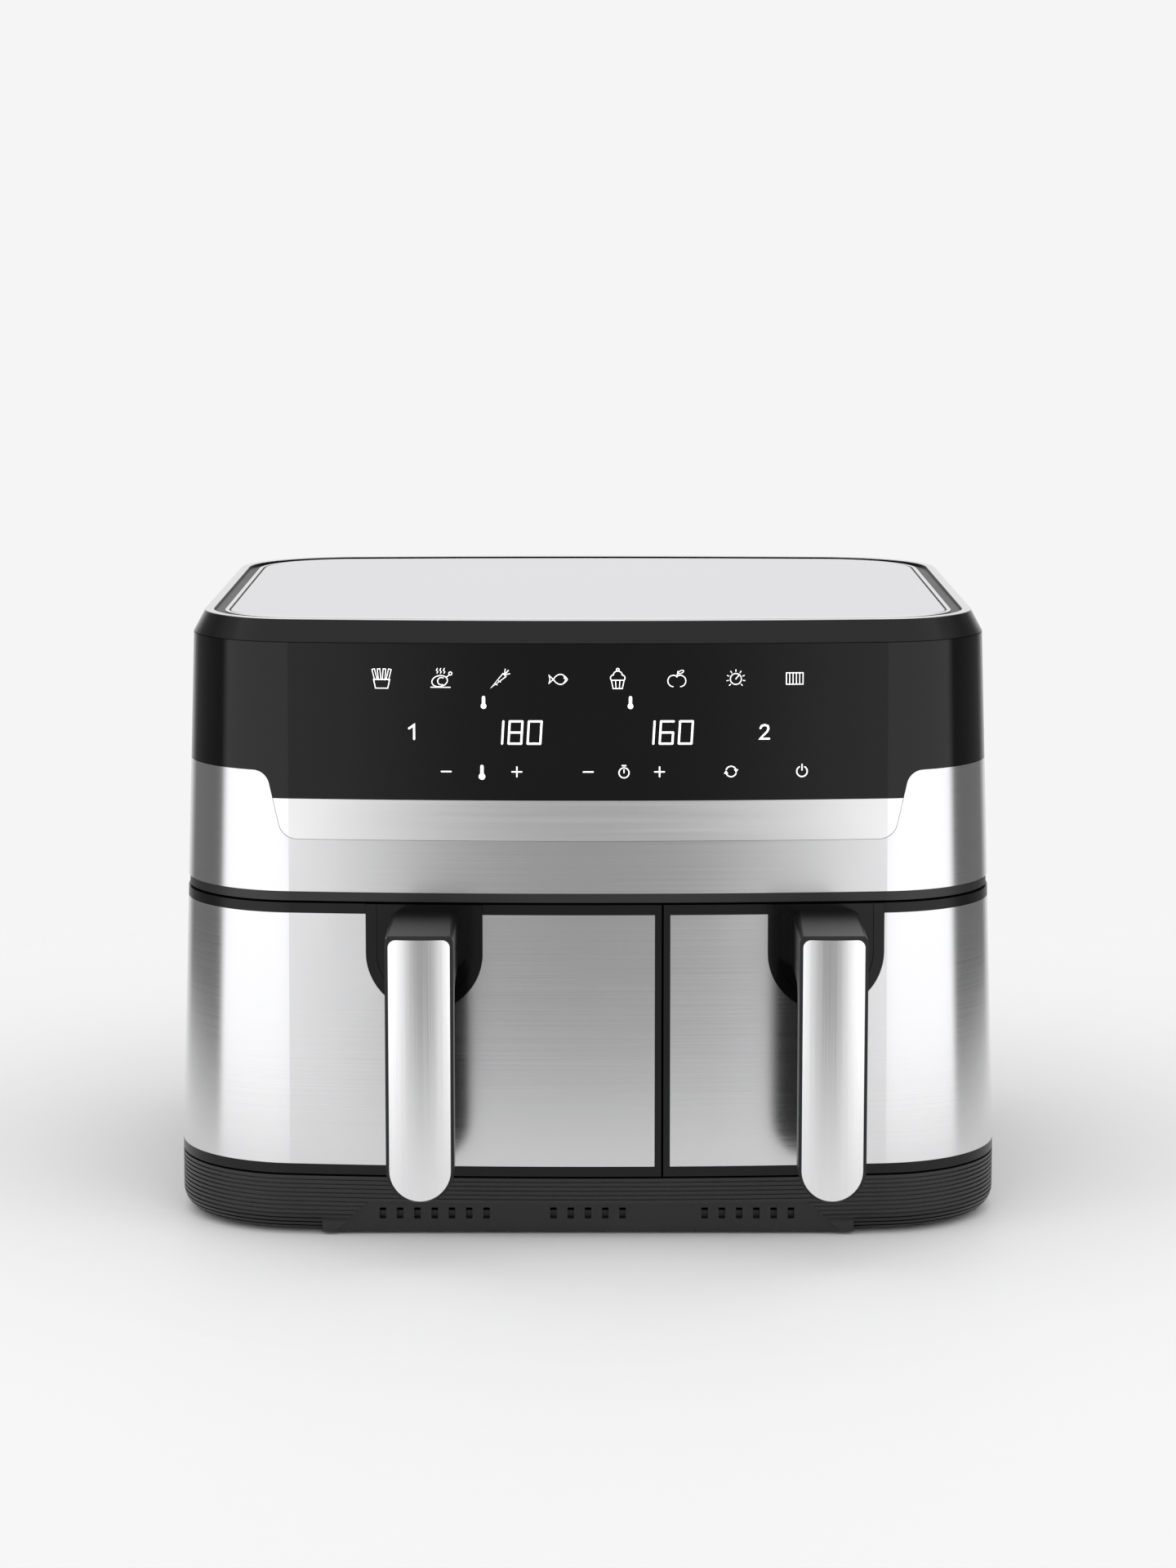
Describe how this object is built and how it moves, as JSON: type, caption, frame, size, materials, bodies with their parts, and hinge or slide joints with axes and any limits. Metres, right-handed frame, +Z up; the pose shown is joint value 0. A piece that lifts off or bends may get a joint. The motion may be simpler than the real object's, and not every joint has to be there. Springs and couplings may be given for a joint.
{
  "type": "air fryer",
  "caption": "Countertop air fryer with two side-by-side pull-out drawers of different widths, upright bar handles, a touch panel above and lift-out grill plates.",
  "frame": {"origin": "on the floor, at the middle of the whole object's bounding box", "axes": "+X to the right seen from the front, front faces -Y, +Z up"},
  "size_m": [0.385, 0.4, 0.2853],
  "materials": {
    "base_plastic": "satin moulded, fine ribs",
    "rubber": "matte",
    "screw_steel": "plated",
    "inner_plastic": "matte",
    "housing_plastic": "fine grain",
    "brushed_steel": "brushed sideways",
    "satin_trim": "satin",
    "gloss_black": "gloss",
    "bezel_silver": "gloss",
    "bright_trim": "bright",
    "top_steel": "brushed",
    "circuit_board": "solder mask",
    "liner_steel": "galvanised",
    "element_steel": "heat-darkened",
    "fan_metal": "pressed",
    "motor_metal": "zinc",
    "fascia_plastic": "satin gloss",
    "grip_plastic": "satin",
    "facing_steel": "brushed upright",
    "coated_pan": "non-stick coating"
  },
  "bodies": {
    "housing": {"base_tray": "base_plastic", "bottom_cover": "base_plastic", "rubber_feet": "rubber", "base_screws": "screw_steel", "front_frame": "inner_plastic", "main_housing": "housing_plastic", "rear_vent_cover": "housing_plastic", "cable_gland": "rubber", "front_carrier": "inner_plastic", "steel_band": "brushed_steel", "trim_strip": "satin_trim", "control_panel": "gloss_black", "top_deck": "inner_plastic", "top_bezel": "bezel_silver", "top_channel": "inner_plastic", "top_trim_ring": "bright_trim", "top_plate": "top_steel", "control_board": "circuit_board", "display_module": "inner_plastic", "drawer_sensors": "inner_plastic", "power_board": "circuit_board", "left_liner": "liner_steel", "left_heater": "element_steel", "left_heater_guard": "liner_steel", "left_motor": "motor_metal", "left_motor_bracket": "liner_steel", "left_temperature_sensor": "screw_steel", "right_liner": "liner_steel", "right_heater": "element_steel", "right_heater_guard": "liner_steel", "right_motor": "motor_metal", "right_motor_bracket": "liner_steel", "right_temperature_sensor": "screw_steel"},
    "left_drawer": {"left_drawer_fascia": "fascia_plastic", "left_fascia_back": "inner_plastic", "left_front_panel": "brushed_steel", "left_handle_mount": "gloss_black", "left_handle_grip": "grip_plastic", "left_handle_facing": "facing_steel", "left_pan": "coated_pan", "left_drawer_screws": "screw_steel"},
    "left_plate": {"left_grill_plate": "coated_pan", "left_plate_bumpers": "rubber"},
    "left_rotor": {"left_fan": "fan_metal", "left_shaft": "screw_steel", "left_cooling_fan": "inner_plastic"},
    "right_drawer": {"right_drawer_fascia": "fascia_plastic", "right_fascia_back": "inner_plastic", "right_front_panel": "brushed_steel", "right_handle_mount": "gloss_black", "right_handle_grip": "grip_plastic", "right_handle_facing": "facing_steel", "right_pan": "coated_pan", "right_drawer_screws": "screw_steel"},
    "right_plate": {"right_grill_plate": "coated_pan", "right_plate_bumpers": "rubber"},
    "right_rotor": {"right_fan": "fan_metal", "right_shaft": "screw_steel", "right_cooling_fan": "inner_plastic"}
  },
  "joints": [
    {"name": "left_drawer_slide", "type": "slide", "parent": "housing", "child": "left_drawer", "axis": [0, -1, 0], "range_m": [0, 0.28]},
    {"name": "left_plate_lift", "type": "slide", "parent": "left_drawer", "child": "left_plate", "axis": [0, 0, 1], "range_m": [0, 0.095]},
    {"name": "left_fan_spin", "type": "hinge", "parent": "housing", "child": "left_rotor", "pos_m": [-0.07508, 0.0245, 0.2], "axis": [0, 0, 1], "continuous": true},
    {"name": "right_drawer_slide", "type": "slide", "parent": "housing", "child": "right_drawer", "axis": [0, -1, 0], "range_m": [0, 0.28]},
    {"name": "right_plate_lift", "type": "slide", "parent": "right_drawer", "child": "right_plate", "axis": [0, 0, 1], "range_m": [0, 0.095]},
    {"name": "right_fan_spin", "type": "hinge", "parent": "housing", "child": "right_rotor", "pos_m": [0.10923, 0.0245, 0.2], "axis": [0, 0, 1], "continuous": true}
  ]
}
